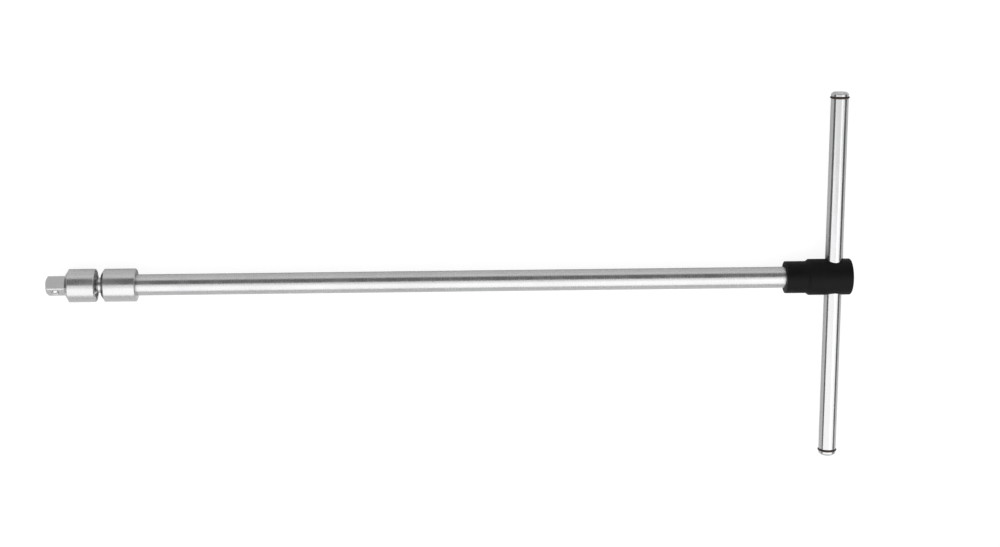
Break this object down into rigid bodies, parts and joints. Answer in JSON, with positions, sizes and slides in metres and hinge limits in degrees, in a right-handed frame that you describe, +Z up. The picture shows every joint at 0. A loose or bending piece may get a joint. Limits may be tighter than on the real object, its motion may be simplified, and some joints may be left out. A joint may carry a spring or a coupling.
{
  "type": "t-handle socket wrench",
  "caption": "T-handle socket wrench with a square drive, a ball-type universal joint, a long shank and a sliding bar held in a cross-drilled head by O-rings.",
  "frame": {"origin": "centre of the square drive's tip face", "axes": "+X along the shank from the square to the head, +Y along the sliding bar, +Z up as the tool lies flat"},
  "size_m": [0.5105, 0.235, 0.023],
  "materials": {
    "satin_chrome": "satin chrome plate",
    "polished_chrome": "polished chrome plate",
    "black_finish": "matte black",
    "o_ring_rubber": "matte",
    "bearing_steel": "ground",
    "spring_steel": "drawn"
  },
  "bodies": {
    "shank": {"shaft": "satin_chrome", "joint_stud": "satin_chrome", "handle_head": "black_finish", "bar_ball": "bearing_steel", "bar_spring": "spring_steel"},
    "cross_pin": {"joint_pin": "bearing_steel"},
    "drive": {"drive_head": "satin_chrome", "retaining_ring": "spring_steel", "friction_seat": "bearing_steel", "friction_spring": "spring_steel", "detent_spring": "spring_steel"},
    "detent": {"detent_ball": "bearing_steel"},
    "bar_stops": {"o_ring_upper": "o_ring_rubber", "o_ring_lower": "o_ring_rubber"},
    "bar": {"handle_bar": "polished_chrome"}
  },
  "joints": [
    {"name": "joint_tilt", "type": "hinge", "parent": "shank", "child": "cross_pin", "pos_m": [0.02585, 0, 0], "axis": [0, 1, 0], "range_deg": [-15, 15]},
    {"name": "joint_swing", "type": "hinge", "parent": "cross_pin", "child": "drive", "pos_m": [0.02585, 0, 0], "axis": [0, 0, 1], "range_deg": [-15, 15]},
    {"name": "detent_press", "type": "slide", "parent": "drive", "child": "detent", "axis": [0, 0.788, -0.6157], "range_m": [0, 0.0009], "stiffness_N_per_m": 3000, "springref_m": -0.001, "deforming": ["detent_spring"]},
    {"name": "bar_slide", "type": "slide", "parent": "shank", "child": "bar_stops", "axis": [0, 1, 0], "range_m": [-0.1018, 0.1018]},
    {"name": "bar_spin", "type": "hinge", "parent": "bar_stops", "child": "bar", "pos_m": [0.5, 0, 0], "axis": [0, 1, 0], "continuous": true}
  ]
}
